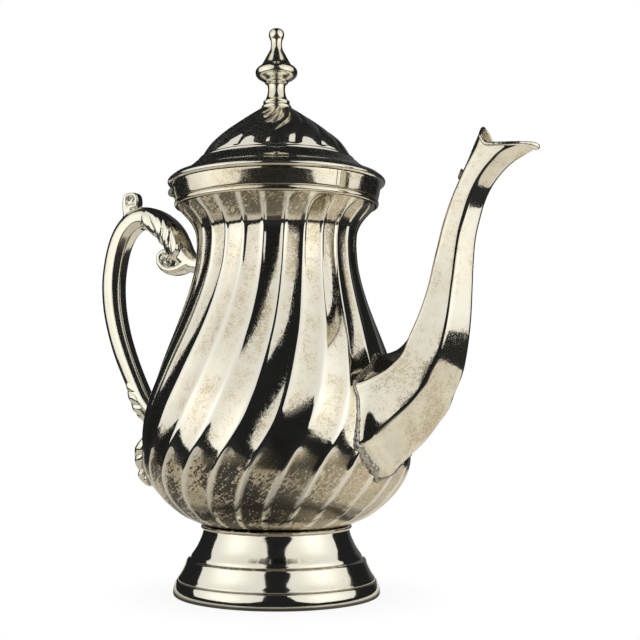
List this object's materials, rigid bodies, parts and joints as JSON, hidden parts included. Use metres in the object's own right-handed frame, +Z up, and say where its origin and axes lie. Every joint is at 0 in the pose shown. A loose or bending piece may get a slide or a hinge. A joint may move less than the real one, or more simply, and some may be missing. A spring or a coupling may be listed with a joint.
{
  "type": "coffee pot",
  "caption": "Spiral-fluted pear-shaped metal coffee pot on a spun foot, with a hinged swirled lid, turned finial, scroll handle and six-sided swan-neck spout.",
  "frame": {"origin": "centre of the foot's flat base, on the table", "axes": "+Z up along the pot's axis, +X toward the spout, -X toward the handle and the lid hinge"},
  "size_m": [0.2102, 0.1164, 0.2454],
  "materials": {
    "silver_body": "tarnished polished silver plate",
    "silver_cast": "tarnished silver plate on a casting",
    "silver_spun": "polished silver plate, light tarnish",
    "solder": "dull hard solder",
    "fixing": "turned, dull"
  },
  "bodies": {
    "pot": {"foot_base_ring": "silver_spun", "foot": "silver_spun", "foot_solder": "solder", "body_shell": "silver_body", "neck_bead": "silver_spun", "neck_collar": "silver_spun", "spout_half_left": "silver_body", "spout_half_right": "silver_body", "spout_root_solder": "solder", "spout_ridge_solder": "solder", "handle": "silver_cast", "handle_upper_solder": "solder", "handle_lower_solder": "solder", "hinge_body_leaf": "silver_cast", "hinge_pin": "fixing"},
    "lid": {"lid_rim": "silver_spun", "lid_bezel": "silver_spun", "lid_dome": "silver_body", "hinge_lid_leaf": "silver_cast", "finial": "silver_cast", "finial_stud": "fixing", "finial_washer": "fixing", "finial_nut": "fixing"}
  },
  "joints": [
    {"name": "lid_hinge", "type": "hinge", "parent": "pot", "child": "lid", "pos_m": [-0.0496, 0, 0.1775], "axis": [0, -1, 0], "range_deg": [0, 100]}
  ]
}
